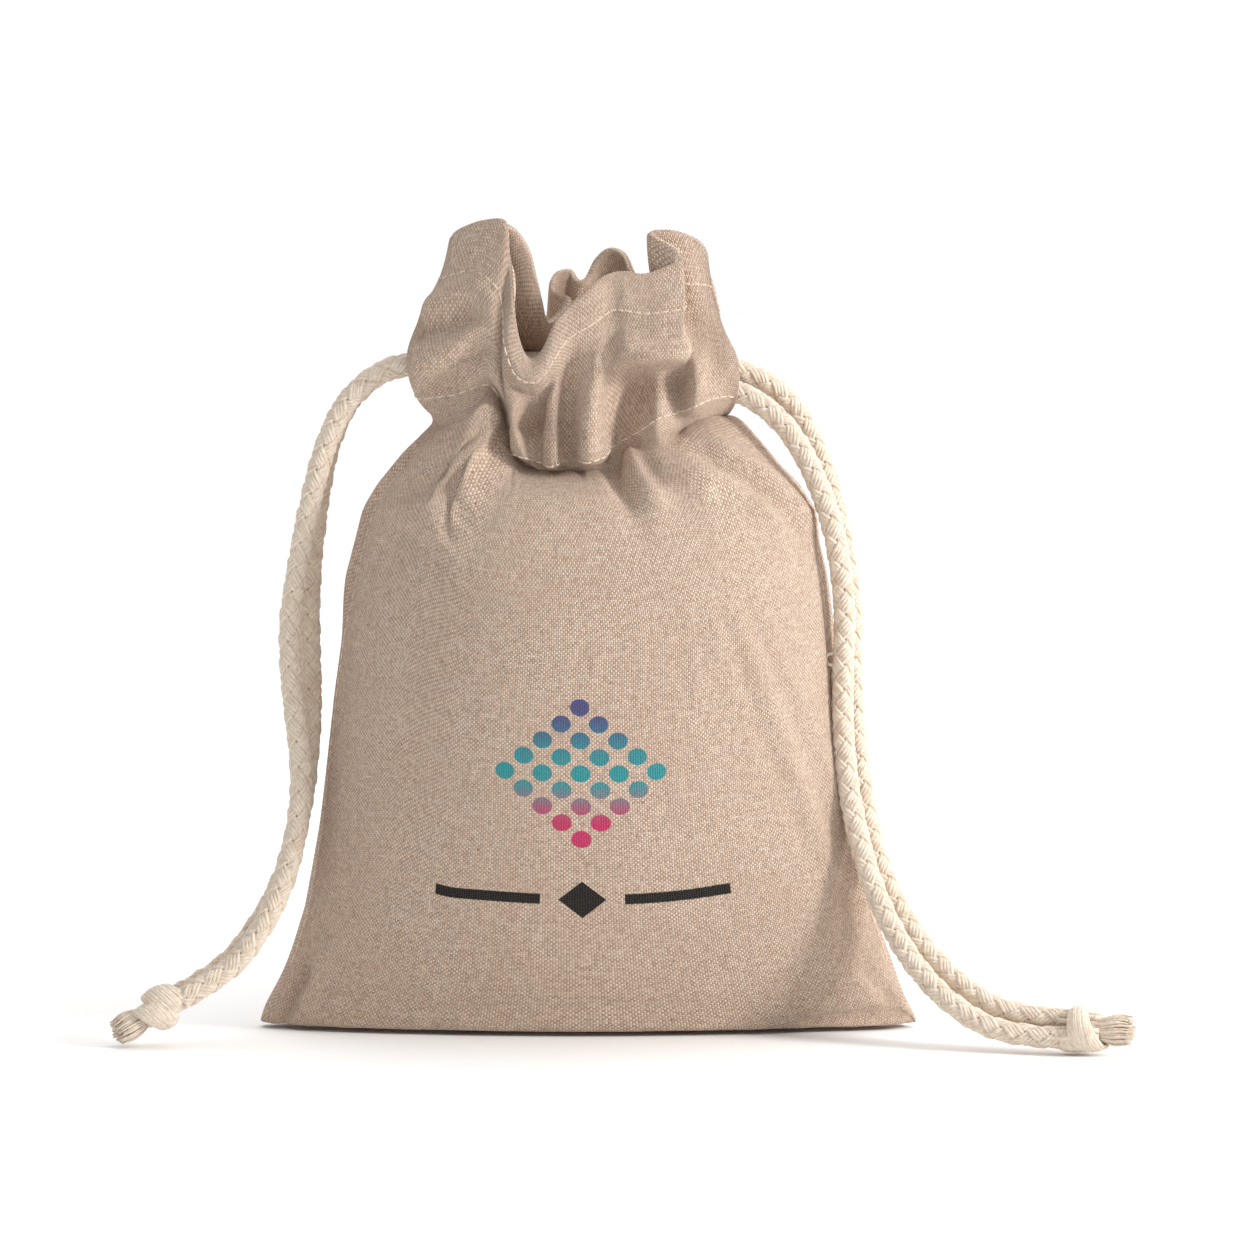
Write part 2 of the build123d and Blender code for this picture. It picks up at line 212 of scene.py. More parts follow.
RIGHT_BACK_ROUTE = (
    (22, 5.5, RIGHT_CORD_Z + 4.4),
    (33, 5.5, RIGHT_CORD_Z + 4.4), (44.5, 7, 145.5), (52.0, 6, 134),
    (57.3, 4, 116.5), (60.2, 1, 100), (60.2, -2.5, 83.5), (60.8, -6, 67), (62.8, -9.5, 51.5),
    (66.5, -13.5, 37), (72.8, -18.5, 24.5), (81.5, -25, 15),
)


# ---------------------------------------------------------------- small helpers

def smooth(low, high, value):
    """0 below low, 1 above high, and a smooth rise between them."""
    share = max(0.0, min(1.0, (value - low) / (high - low)))
    return share * share * (3 - 2 * share)


def mix(a, b, share):
    return a + (b - a) * share


def add_object(name, mesh):
    obj = bpy.data.objects.new(name, mesh)
    bpy.context.scene.collection.objects.link(obj)
    return obj


def mesh_object(name, verts, faces, material=None, smooth_faces=True):
    mesh = bpy.data.meshes.new(name)
    mesh.from_pydata([tuple(v) for v in verts], [], faces)
    mesh.update()
    if smooth_faces:
        mesh.polygons.foreach_set("use_smooth", [True] * len(mesh.polygons))
    if material is not None:
        mesh.materials.append(material)
    return add_object(name, mesh)


def square(name, half, material=None, smooth_faces=True):
    corners = [(-half, -half, 0), (half, -half, 0), (half, half, 0), (-half, half, 0)]
    return mesh_object(name, corners, [(0, 1, 2, 3)], material, smooth_faces)


def remove_object(obj):
    data = obj.data
    bpy.data.objects.remove(obj)
    bpy.data.meshes.remove(data)


# ---------------------------------------------------------------- camera, light, floor

def add_camera():
    camera = bpy.data.cameras.new("camera")
    camera.angle = 2 * math.atan(VIEW_WIDTH / 2 / VIEW_DISTANCE)
    camera.clip_start = 0.05
    obj = bpy.data.objects.new("camera", camera)
    bpy.context.scene.collection.objects.link(obj)
    away = Vector((0, -math.cos(VIEW_ELEVATION), math.sin(VIEW_ELEVATION)))
    obj.location = VIEW_TARGET + away * VIEW_DISTANCE
    obj.rotation_euler = away.to_track_quat("Z", "Y").to_euler()
    bpy.context.scene.camera = obj


def add_area_light(name, place, size, power, colour):
    light = bpy.data.lights.new(name, "AREA")
    light.shape = "DISK"
    light.size = size
    light.energy = power
    light.color = colour
    obj = bpy.data.objects.new(name, light)
    bpy.context.scene.collection.objects.link(obj)
    obj.location = place
    toward = Vector((0, 0, 0.08)) - Vector(place)
    obj.rotation_euler = toward.to_track_quat("-Z", "Y").to_euler()


def add_light():
    world = bpy.data.worlds.new("studio")
    bpy.context.scene.world = world
    world.use_nodes = True
    tree = world.node_tree
    background = tree.nodes["Background"]
    background.inputs["Color"].default_value = (1.0, 1.0, 1.0, 1)
    direction = tree.nodes.new("ShaderNodeTexCoord").outputs["Generated"]
    axes = tree.nodes.new("ShaderNodeSeparateXYZ")
    tree.links.new(direction, axes.inputs[0])

    def ramp(axis, low, high, from_value, to_value):
        node = tree.nodes.new("ShaderNodeMapRange")
        node.interpolation_type = "SMOOTHSTEP"
        for socket, number in zip(list(node.inputs)[1:5], (low, high, from_value, to_value)):
            socket.default_value = number
        tree.links.new(axes.outputs[axis], node.inputs[0])
        return node.outputs[0]

    def combine(operation, a, b):
        node = tree.nodes.new("ShaderNodeMath")
        node.operation = operation
        for socket, value in zip(node.inputs, (a, b)):
            if isinstance(value, float):
                socket.default_value = value
            else:
                tree.links.new(value, socket)
        return node.outputs[0]

    # A white backdrop all round, a dim left side and front above it, and a broad soft light
    # overhead.
    side = ramp("X", -0.75, -0.16, DIM_SIDE, BACKDROP)
    front = ramp("Y", -0.6, 0.3, DIM_FRONT, 1.0)
    above = ramp("Z", 0.06, 0.16, 0.0, 1.0)
    overhead = ramp("Z", 0.25, 0.8, 0.0, OVERHEAD)
    dimming = combine("SUBTRACT", BACKDROP, combine("MULTIPLY", side, front))
    studio = combine("SUBTRACT", BACKDROP, combine("MULTIPLY", above, dimming))
    tree.links.new(combine("ADD", studio, overhead), background.inputs["Strength"])
    add_area_light("key", (1.02, -0.40, 0.5), 0.30, 10.5, (1.0, 0.985, 0.96))
    bpy.context.scene.view_settings.view_transform = "Standard"


def add_floor():
    floor = square("studio_floor", FLOOR_REACH, floor_material(), smooth_faces=False)
    floor.location.z = FLOOR_Z


# ---------------------------------------------------------------- materials

class Nodes:
    """Builds one material's nodes."""

    def __init__(self, name):
        self.material = bpy.data.materials.new(name)
        self.material.use_nodes = True
        self.tree = self.material.node_tree
        self.shader = self.tree.nodes["Principled BSDF"]

    def put(self, socket, value):
        if isinstance(value, bpy.types.NodeSocket):
            self.tree.links.new(value, socket)
        else:
            socket.default_value = value

    def node(self, kind, settings=None, **inputs):
        node = self.tree.nodes.new(kind)
        for key, value in (settings or {}).items():
            setattr(node, key, value)
        for key, value in inputs.items():
            self.put(node.inputs[key.replace("_", " ")], value)
        return node

    def math(self, operation, *values):
        node = self.tree.nodes.new("ShaderNodeMath")
        node.operation = operation
        for socket, value in zip(node.inputs, values):
            self.put(socket, value)
        return node.outputs[0]

    def plus(self, a, b):
        return self.math("ADD", a, b)

    def minus(self, a, b):
        return self.math("SUBTRACT", a, b)

    def times(self, a, b):
        return self.math("MULTIPLY", a, b)

    def mix(self, share, a, b):
        node = self.tree.nodes.new("ShaderNodeMix")
        node.data_type = "RGBA"
        self.put(node.inputs[0], share)
        self.put(node.inputs[6], a)
        self.put(node.inputs[7], b)
        return node.outputs[2]

    def place(self, x, y, z=0.0):
        node = self.tree.nodes.new("ShaderNodeCombineXYZ")
        for socket, value in zip(node.inputs, (x, y, z)):
            self.put(socket, value)
        return node.outputs[0]

    def noise(self, vector, scale, detail=2.0, roughness=0.5):
        node = self.node("ShaderNodeTexNoise", None, Vector=vector, Scale=scale, Detail=detail,
                         Roughness=roughness)
        return node.outputs["Fac"]

    def band(self, value, low, high):
        """A smooth rise from 0 to 1 between low and high."""
        node = self.tree.nodes.new("ShaderNodeMapRange")
        node.interpolation_type = "SMOOTHSTEP"
        for socket, number in zip(node.inputs, (value, low, high, 0.0, 1.0)):
            self.put(socket, number)
        return node.outputs[0]

    def bump(self, height, distance, strength=1.0, under=None):
        node = self.tree.nodes.new("ShaderNodeBump")
        self.put(node.inputs["Height"], height)
        node.inputs["Distance"].default_value = distance
        node.inputs["Strength"].default_value = strength
        if under is not None:
            self.put(node.inputs["Normal"], under)
        return node.outputs[0]

    def finish(self, colour, roughness, normal=None, sheen=0.0):
        self.put(self.shader.inputs["Base Color"], colour)
        self.put(self.shader.inputs["Roughness"], roughness)
        self.shader.inputs["Specular IOR Level"].default_value = 0.2
        self.shader.inputs["Sheen Weight"].default_value = sheen
        self.shader.inputs["Sheen Roughness"].default_value = 0.5
        if normal is not None:
            self.put(self.shader.inputs["Normal"], normal)
        return self.material


def floor_material():
    n = Nodes("studio_floor")
    geometry = n.node("ShaderNodeNewGeometry").outputs["Position"]
    grain = n.noise(geometry, 40.0)
    return n.finish(n.mix(grain, (0.975, 0.975, 0.975, 1), (0.985, 0.985, 0.985, 1)), 0.9)


WEAVE_PITCH = 0.52       # from one thread to the next
WARP_PALER = 0.16        # the warp is paler than the weft, which makes the weave look chequered
WEAVE_RELIEF = 0.34 * MM


def cloth_material(printed):
    """Plain weave of heathered cotton.  The UV map is the flat cloth, in mm."""
    n = Nodes("printed_cloth" if printed else "cloth")
    uv = n.node("ShaderNodeUVMap", {"uv_map": "flat"}).outputs[0]
    parts = n.node("ShaderNodeSeparateXYZ", None, Vector=uv).outputs
    across, up = parts[0], parts[1]
    warp, weft = n.math("DIVIDE", across, WEAVE_PITCH), n.math("DIVIDE", up, WEAVE_PITCH)
    warp_number, weft_number = n.math("FLOOR", warp), n.math("FLOOR", weft)
    # Which thread is on top: a chequerboard of warp and weft.
    parity = n.math("MODULO", n.plus(warp_number, weft_number), 2.0)
    over = n.math("ABSOLUTE", parity)
    warp_round = n.math("SINE", n.times(n.math("FRACT", warp), math.pi))
    weft_round = n.math("SINE", n.times(n.math("FRACT", weft), math.pi))
    low = n.times(warp_round, weft_round)
    crown = n.plus(n.times(over, warp_round), n.times(n.minus(1.0, over), weft_round))
    height = n.plus(n.times(crown, 0.45), n.times(low, 0.55))
    # Each thread has its own shade, which drifts along it, and slubs.
    warp_tone = n.noise(n.place(n.times(warp_number, 3.71), n.times(up, 0.3)), 1.0, 2.0, 0.6)
    weft_tone = n.noise(n.place(n.times(weft_number, 5.37), n.times(across, 0.3), 7.0), 1.0, 2.0, 0.6)
    tone = n.plus(n.times(over, warp_tone), n.times(n.minus(1.0, over), weft_tone))
    short = n.noise(n.place(n.times(across, 0.9), n.times(up, 0.9), 3.0), 1.0, 2.0, 0.6)
    tone = n.plus(n.times(tone, 0.6), n.times(short, 0.4))
    tone = n.plus(tone, n.times(n.minus(over, 0.5), WARP_PALER))
    shade = n.band(tone, 0.27, 0.73)
    tan, cream = (0.42, 0.285, 0.205, 1), (0.85, 0.69, 0.565, 1)
    yarn = n.mix(shade, tan, cream)
    cloudy = n.noise(n.place(n.times(across, 0.06), n.times(up, 0.06)), 1.0, 3.0)
    yarn = n.mix(n.times(n.band(cloudy, 0.35, 0.7), 0.22), yarn, (0.56, 0.40, 0.30, 1))
    # Painted shade: the low places between the threads are darkened towards dark brown, as shade falls
    # there.
    painted_thread_gap_shade = n.band(height, 0.5, 0.05)
    yarn = n.mix(n.times(painted_thread_gap_shade, 0.6), yarn, (0.26, 0.17, 0.12, 1))
    # A few brown flecks of seed husk.
    fleck = n.node("ShaderNodeTexVoronoi", None, Vector=n.place(across, up), Scale=0.16, Randomness=1.0)
    flecks = n.times(n.band(fleck.outputs["Distance"], 0.06, 0.035), 0.7)
    yarn = n.mix(flecks, yarn, (0.25, 0.13, 0.07, 1))
    if printed:
        yarn = print_on(n, yarn, across, up, height)
    fuzz = n.noise(n.place(across, up), 9.0, 3.0, 0.7)
    relief = n.plus(height, n.times(fuzz, 0.25))
    return n.finish(yarn, 0.92, n.bump(relief, WEAVE_RELIEF, 0.7), sheen=0.12)


# The print on the front, on the flat cloth.
PRINT_CENTRE = (74.0, 82.0)
PRINT_WIDTH = 41.0       # of the diamond of dots
DOTS = 5                 # along each edge of the diamond
DOT_EDGE = (0.38, 0.35)  # a dot fades out between these shares of its cell
BAR_DROP = 32.0          # from the middle of the diamond down to the bars
BAR_WIDTH = 62.0         # over both bars
BAR_GAP = 8.5            # from the middle to where a bar starts
BAR_EDGE = (1.45, 1.25)
SMALL_EDGE = (4.9, 4.7)
RED_INK = (0.56, 0.03, 0.13, 1)
TEAL_INK = (0.02, 0.30, 0.33, 1)
BLUE_INK = (0.065, 0.075, 0.22, 1)
BLACK_INK = (0.008, 0.008, 0.008, 1)


def print_on(n, yarn, across, up, height):
    """A generic printed device: a diamond of round dots, above two bars and a small diamond."""
    x = n.minus(across, PRINT_CENTRE[0])
    y = n.minus(up, PRINT_CENTRE[1])
    ragged = n.times(n.minus(n.noise(n.place(x, y), 2.5), 0.5), 0.25)
    cell = PRINT_WIDTH / DOTS / math.sqrt(2)
    turn = math.sqrt(0.5)
    a = n.times(n.plus(x, y), turn / cell)
    b = n.times(n.minus(x, y), turn / cell)
    dots = []
    for value in (a, b):
        shifted = n.plus(value, DOTS / 2)
        dots.append(n.minus(n.math("FRACT", shifted), 0.5))
    distance = n.math("SQRT", n.plus(n.times(dots[0], dots[0]), n.times(dots[1], dots[1])))
    outermost = n.math("MAXIMUM", n.math("ABSOLUTE", a), n.math("ABSOLUTE", b))
    inside = n.math("LESS_THAN", outermost, DOTS / 2)
    dot = n.times(n.band(n.plus(distance, n.times(ragged, 0.3)), *DOT_EDGE), inside)
    rise = n.math("DIVIDE", y, PRINT_WIDTH / 2)
    lower = n.band(rise, -0.65, -0.05)
    upper = n.band(rise, 0.05, 0.8)
    ink = n.mix(upper, n.mix(lower, RED_INK, TEAL_INK), BLUE_INK)
    low_y = n.plus(y, BAR_DROP)
    across_bar = n.math("ABSOLUTE", x)
    on_bar = n.times(n.math("LESS_THAN", across_bar, BAR_WIDTH / 2),
                     n.math("GREATER_THAN", across_bar, BAR_GAP))
    bar = n.times(on_bar, n.band(n.math("ABSOLUTE", n.plus(low_y, ragged)), *BAR_EDGE))
    small = n.band(n.plus(n.plus(across_bar, n.math("ABSOLUTE", low_y)), ragged), *SMALL_EDGE)
    black = n.math("MAXIMUM", bar, small)
    soak = n.band(height, 0.05, 0.35)
    worn = n.plus(n.times(soak, 0.25), 0.72)
    yarn = n.mix(n.times(dot, worn), yarn, ink)
    darker = n.math("MINIMUM", n.plus(worn, 0.06), 1.0)
    return n.mix(n.times(black, darker), yarn, BLACK_INK)


def thread_material():
    n = Nodes("sewing_thread")
    place = n.node("ShaderNodeNewGeometry").outputs["Position"]
    tone = n.noise(place, 900.0, 2.0)
    colour = n.mix(tone, (0.66, 0.52, 0.41, 1), (0.83, 0.70, 0.58, 1))
    return n.finish(colour, 0.85, n.bump(n.noise(place, 5000.0), 0.0001, 0.5), sheen=0.1)


def yarn_material():
    """Soft-spun cotton of the cords: the UV map runs along and round each yarn, in mm."""
    n = Nodes("cord_yarn")
    uv = n.node("ShaderNodeUVMap", {"uv_map": "along"}).outputs[0]
    parts = n.node("ShaderNodeSeparateXYZ", None, Vector=uv).outputs
    along, around = parts[0], parts[1]
    place = n.node("ShaderNodeNewGeometry").outputs["Position"]
    twist = n.math("SINE", n.plus(n.times(along, 4.5), n.times(around, 6.283)))
    fibre = n.noise(n.place(n.times(along, 0.8), n.times(around, 9.0)), 1.0, 3.0, 0.7)
    cloudy = n.noise(place, 260.0, 2.0)
    colour = n.mix(n.band(fibre, 0.3, 0.7), (0.66, 0.53, 0.41, 1), (0.87, 0.78, 0.67, 1))
    colour = n.mix(n.times(n.band(cloudy, 0.5, 0.75), 0.35), colour, (0.56, 0.41, 0.29, 1))
    relief = n.plus(n.times(twist, 0.2), fibre)
    return n.finish(colour, 0.9, n.bump(relief, 0.00022, 0.7), sheen=0.25)


# ---------------------------------------------------------------- the cloth before it settles

FLAPS = [
    [(rib[0], [Vector(p) for p in rib[1:]]) for rib in ribs] for ribs in (FRONT_RIBS, BACK_RIBS)
]


def catmull(points, share):
    """A point on the smooth curve between the middle two of four points."""
    a, b, c, d = points
    t, t2, t3 = share, share ** 2, share ** 3
    return 0.5 * (2 * b + (c - a) * t + (2 * a - 5 * b + 4 * c - d) * t2 + (3 * b - a - 3 * c + d) * t3)


def rib_at(flap, u, level):
    """The gathered neck at a place round the pouch and a level of RIB_DEPTHS."""
    ribs = FLAPS[flap]
    last = len(ribs) - 1
    here = max(i for i in range(last) if ribs[i][0] <= u)
    share = (u - ribs[here][0]) / (ribs[here + 1][0] - ribs[here][0])
    around = [max(0, min(last, here + k)) for k in (-1, 0, 1, 2)]
    return catmull([ribs[i][1][level] for i in around], share)


def neck_point(flap, u, depth):
    """A point of the neck, at a depth below the top edge."""
    last = len(RIB_DEPTHS) - 1
    low = max(i for i in range(last) if RIB_DEPTHS[i] >= depth)
    share = (RIB_DEPTHS[low] - depth) / (RIB_DEPTHS[low] - RIB_DEPTHS[low + 1])
    levels = [max(0, min(last, low + k)) for k in (-1, 0, 1, 2)]
    return catmull([rib_at(flap, u, level) for level in levels], share)


def body_level(z):
    """Centre, half width, half depth and squareness of the body at a height."""
    for low, high in zip(BODY_LEVELS, BODY_LEVELS[1:]):
        if z <= high[0]:
            share = max(0.0, (z - low[0]) / (high[0] - low[0]))
            return [mix(a, b, share) for a, b in zip(low[1:], high[1:])]
    return BODY_LEVELS[-1][1:]


def body_point(u, z, inset=0.0):
    """A point of the body's outline, with the cloth spread evenly round it."""
    centre, half_width, half_depth, power = body_level(z)
    side = -1 if u <= FLAT_WIDTH else 1
    share = u / FLAT_WIDTH if u <= FLAT_WIDTH else 2 - u / FLAT_WIDTH
    x = 2 * share - 1
    # The cloth lies closer together in x where the outline turns at the sides.
    x = math.sin(x * math.pi / 2) * 0.55 + x * 0.45
    y = max(0.0, 1 - abs(x) ** power) ** (1 / power)
    return Vector((centre + x * (half_width - inset), side * y * (half_depth - inset), z))


def base_reach(u):
    """How far the base cloth reaches from the bottom seam to the edge of the base."""
    x = u / FLAT_WIDTH * 2 - 1 if u <= FLAT_WIDTH else 3 - u / FLAT_WIDTH * 2
    return BASE_DEPTH * max(0.0, 1 - abs(x) ** BASE_POWER) ** (1 / BASE_POWER)


def cloth_point(flap, u, v):
    """Where a point of the flat pouch lies before the cloth settles."""
    depth = FLAT_HEIGHT - v
    if depth <= NECK_RIB_END:
        return neck_point(flap, u, depth)
    reach = base_reach(u)
    rib_v = FLAT_HEIGHT - NECK_RIB_END
    if v < reach:
        edge = body_point(u, BODY_LEVELS[0][0])
        return Vector((edge.x, edge.y * v / reach, BODY_LEVELS[0][0]))
    top = neck_point(flap, u, NECK_RIB_END)
    share = (v - reach) / (rib_v - reach)
    z = mix(BODY_LEVELS[0][0], top.z, share)
    body = body_point(u, z)
    gather = smooth(0.68, 1.0, share)
    level_top = body_point(u, top.z)
    return body + (top - level_top) * gather


def flat_point(u, v):
    """The pouch laid flat, which the cloth's rest lengths come from."""
    if u <= FLAT_WIDTH:
        return Vector((u - FLAT_WIDTH / 2, -0.3, v))
    return Vector((3 * FLAT_WIDTH / 2 - u, 0.3, v))


ROW_SIZE = 2 * (COLUMNS + 1)


def grid_index(column, row):
    """Columns 0 to COLUMNS are the front's, left to right, and the rest are the back's."""
    return row * ROW_SIZE + column


def column_place(column):
    flap = column // (COLUMNS + 1)
    return flap, (column - flap) * FLAT_WIDTH / COLUMNS


def joined(column, row):
    """The vertex that a place on the pouch shares with its neighbour across a seam."""
    if row == 0 and column > COLUMNS:
        return grid_index(2 * COLUMNS + 1 - column, 0)
    if FLAT_HEIGHT - row * FLAT_HEIGHT / ROWS >= SIDES_OPEN:
        if column == 2 * COLUMNS + 1:
            return grid_index(0, row)
        if column == COLUMNS + 1:
            return grid_index(COLUMNS, row)
    return grid_index(column, row)


def cloth_grid():
    """Rows go up from the bottom seam.  Each place is the flap, and across and up it."""
    places = []
    for row in range(ROWS + 1):
        for column in range(ROW_SIZE):
            places.append((*column_place(column), row * FLAT_HEIGHT / ROWS))
    faces = []
    for row in range(ROWS):
        for column in range(ROW_SIZE - 1):
            if column != COLUMNS:
                faces.append((
                    joined(column, row), joined(column + 1, row),
                    joined(column + 1, row + 1), joined(column, row + 1),
                ))
    return places, faces


# ---------------------------------------------------------------- simulation

# The filling: the heights of its rings up to its top, and how far inside the cloth it is.
FILLING_RINGS = (1.2, 4, 8, 14, 20, 28, 36, 46, 56, 66, 76, 86, 96, 104, 112, 118)
FILLING_INSET = 1.0
# Its top: height, half width, half depth and how far its front shoulders stand out more.
FILLING_TOP = (
    (123.0, 48.5, 29.0, 0.0), (126.0, 46.0, 21.0, 7.0), (128.0, 43.8, 10.0, 16.0),
    (132.0, 40.6, 7.5, 14.0), (136.0, 37.0, 6.0, 11.0), (139.0, 34.0, 4.0, 9.0),
)


def filler_object():
    """What fills the sack: a closed form just inside the cloth, at the simulation's scale."""
    steps = 96
    verts, faces = [], []
    for z in FILLING_RINGS:
        for i in range(steps):
            verts.append(body_point(2 * FLAT_WIDTH * i / steps, z, FILLING_INSET))
    edge = body_level(FILLING_TOP[0][0])
    for z, half_width, half_depth, shoulder in FILLING_TOP:
        for i in range(steps):
            place = body_point(2 * FLAT_WIDTH * i / steps, FILLING_TOP[0][0])
            x = (place.x - edge[0]) / edge[1] * (half_width - FILLING_INSET)
            depth = half_depth
            if place.y < 0:
                depth += shoulder * smooth(13.0, 26.0, abs(x))
            verts.append(Vector((edge[0] + x, place.y / edge[2] * depth, z)))
    rings = len(verts) // steps
    for k in range(rings - 1):
        for i in range(steps):
            j = (i + 1) % steps
            faces.append((k * steps + i, k * steps + j, (k + 1) * steps + j, (k + 1) * steps + i))
    faces.append(tuple(range(len(verts) - steps, len(verts))))
    faces.append(tuple(reversed(range(steps))))
    return mesh_object("filling", [v * MM * SIM_SCALE for v in verts], faces)


def add_collision(obj, thickness):
    obj.modifiers.new("Collision", "COLLISION")
    obj.collision.thickness_outer = thickness
    obj.collision.thickness_inner = thickness * 4
    obj.collision.cloth_friction = 4.0
    obj.collision.damping = 0.5


def settle(places, faces):
    """Run the cloth and return its vertices in mm."""
    start = [cloth_point(*place) for place in places]
    sim = mesh_object("settling", [p * MM * SIM_SCALE for p in start], faces)
    sim.shape_key_add(name="Basis")
    flat = sim.shape_key_add(name="flat")
    for data, place in zip(flat.data, places):
        data.co = flat_point(*place[1:]) * MM * SIM_SCALE
    # The neck is held, and the body under it is free.
    pins = sim.vertex_groups.new(name="pins")
    for index, place in enumerate(places):
        depth = FLAT_HEIGHT - place[2]
        if depth < NECK_RIB_END - 1:
            pins.add([index], 1 - 0.75 * smooth(30.0, 46.0, depth), "REPLACE")
    filling = filler_object()
    add_collision(filling, SIM_GAP)
    floor = square("sim_floor", 3)
    add_collision(floor, SIM_GAP)
    cloth = sim.modifiers.new("Cloth", "CLOTH")
    settings = cloth.settings
    settings.quality = 7
    settings.mass = 0.25
    settings.tension_stiffness = 25
    settings.compression_stiffness = 25
    settings.shear_stiffness = 8
    settings.bending_stiffness = 0.6
    settings.tension_damping = 15
    settings.compression_damping = 15
    settings.shear_damping = 10
    settings.bending_damping = 1.0
    settings.air_damping = 3
    settings.vertex_group_mass = "pins"
    settings.pin_stiffness = 2.0
    settings.rest_shape_key = flat
    settings.effector_weights.gravity = 0.4
    cloth.collision_settings.distance_min = 0.004
    cloth.collision_settings.collision_quality = 3
    cloth.collision_settings.use_self_collision = False
    cloth.point_cache.frame_start = 1
    cloth.point_cache.frame_end = SIM_FRAMES
    scene = bpy.context.scene
    for number in range(1, SIM_FRAMES + 1):
        scene.frame_set(number)
    settled = sim.evaluated_get(bpy.context.evaluated_depsgraph_get()).to_mesh()
    result = [v.co / MM / SIM_SCALE for v in settled.vertices]
    scene.frame_set(1)
    for obj in (sim, filling, floor):
        remove_object(obj)
    return result


# ---------------------------------------------------------------- folds pressed into the cloth

# Each fold: its line on the flat cloth, its width and its height, in mm.  Ridges stand out
# and valleys, with a negative height, go in.
FOLDS = (
    (((9.5, 6), (10.5, 24)), 2.6, -3.0),
    (((13.5, 9), (15, 30)), 3.0, 1.4),
    (((133, 46), (143, 33)), 5.0, -2.4),
    (((108, 13.0), (125, 11.5), (138, 9.5), (147, 7)), 1.7, -2.0),
    (((112, 8.5), (128, 7.5), (142, 4.5)), 2.0, 1.0),
    (((112, 18), (140, 15)), 3.0, 0.8),
    (((15, 16), (40, 19.5), (75, 21), (105, 19.5)), 1.9, -0.6),
    (((112, 153), (125, 143), (137, 130)), 4.0, 2.2),
    (((119, 153), (131, 141), (141, 127)), 3.0, -2.8),
    (((126, 155), (138, 143), (146, 128)), 3.2, 1.8),
    (((24, 154), (19, 143), (16, 128)), 7.0, 1.2),
    (((101, 162), (94, 151), (92, 139)), 3.2, -2.4),
    (((109, 164), (102, 151), (100, 138)), 3.4, 2.0),
    (((0, 164), (0, 104)), 2.0, 1.6),
    (((300, 164), (300, 104)), 2.0, 1.6),
    (((4.4, 157), (4.4, 106)), 1.9, -1.3),
    (((295.6, 157), (295.6, 106)), 1.9, -1.0),
    (((2, 189.5), (14, 192), (28, 194.5)), 2.2, 2.2),
    (((3, 184), (13, 186.5), (26, 190)), 2.3, -2.8),
    (((9, 175), (18, 181), (27, 190)), 2.6, 2.0),
    (((14, 170), (22, 176), (30, 186)), 2.6, -2.4),
    (((21, 169), (28, 175), (33, 184)), 2.4, 1.8),
    (((97, 188), (112, 187.5), (127, 188)), 1.8, 2.0),
    (((97, 193), (112, 192), (126, 192.5)), 1.8, -1.6),
    (((62, 166), (58, 182)), 2.6, -1.8),
    (((51, 168), (50, 182)), 2.4, 1.2),
    (((71, 165), (69, 176), (73, 192)), 2.6, 1.6),
    (((80, 166), (78, 178), (81, 193)), 2.4, -2.0),
    (((87, 165), (86, 178), (92, 194)), 2.8, 1.5),
    (((97, 168), (95, 180), (99, 192)), 2.4, -1.4),
    (((48, 184), (56, 188), (66, 188)), 2.0, 1.6),
    (((50, 178), (58, 181), (68, 180)), 2.2, -1.8),
)


def near_line(place, line):
    """Distance from a place on the flat cloth to a line of points, and where along it."""
    best, where = 1e9, 0.0
    for number, (start, end) in enumerate(zip(line, line[1:])):
        start, end = Vector(start), Vector(end)
        run = end - start
        share = max(0.0, min(1.0, (place - start).dot(run) / run.length_squared))
        gap = (start + run * share - place).length
        if gap < best:
            best, where = gap, (number + share) / (len(line) - 1)
    return best, where


LOWEST_CLOTH = 0.9       # this high, no cloth sinks below the floor once it has its thickness


def press_folds(points, places):
    """Move the cloth along its normal where the folds are."""
    normals = {}
    for row in range(ROWS + 1):
        low, high = max(row - 2, 0), min(row + 2, ROWS)
        for column in range(ROW_SIZE):
            first = 0 if column <= COLUMNS else COLUMNS + 1
            left, right = max(column - 2, first), min(column + 2, first + COLUMNS)
            across = points[grid_index(right, row)] - points[grid_index(left, row)]
            up = points[grid_index(column, high)] - points[grid_index(column, low)]
            normals[grid_index(column, row)] = across.cross(up).normalized()
    for index, (_, u, v) in enumerate(places):
        push = 0.0
        for line, width, height in FOLDS:
            if min(p[1] for p in line) - 3 * width > v or max(p[1] for p in line) + 3 * width < v:
                continue
            if min(p[0] for p in line) - 3 * width > u or max(p[0] for p in line) + 3 * width < u:
                continue
            gap, along = near_line(Vector((u, v)), line)
            fade = smooth(-0.1, 0.25, along) * (1 - smooth(0.75, 1.1, along))
            push += height * math.exp(-(gap / width) ** 2) * fade
        points[index] = points[index] + normals[index] * push
        points[index].z = max(points[index].z, LOWEST_CLOTH)


# ---------------------------------------------------------------- finished cloth

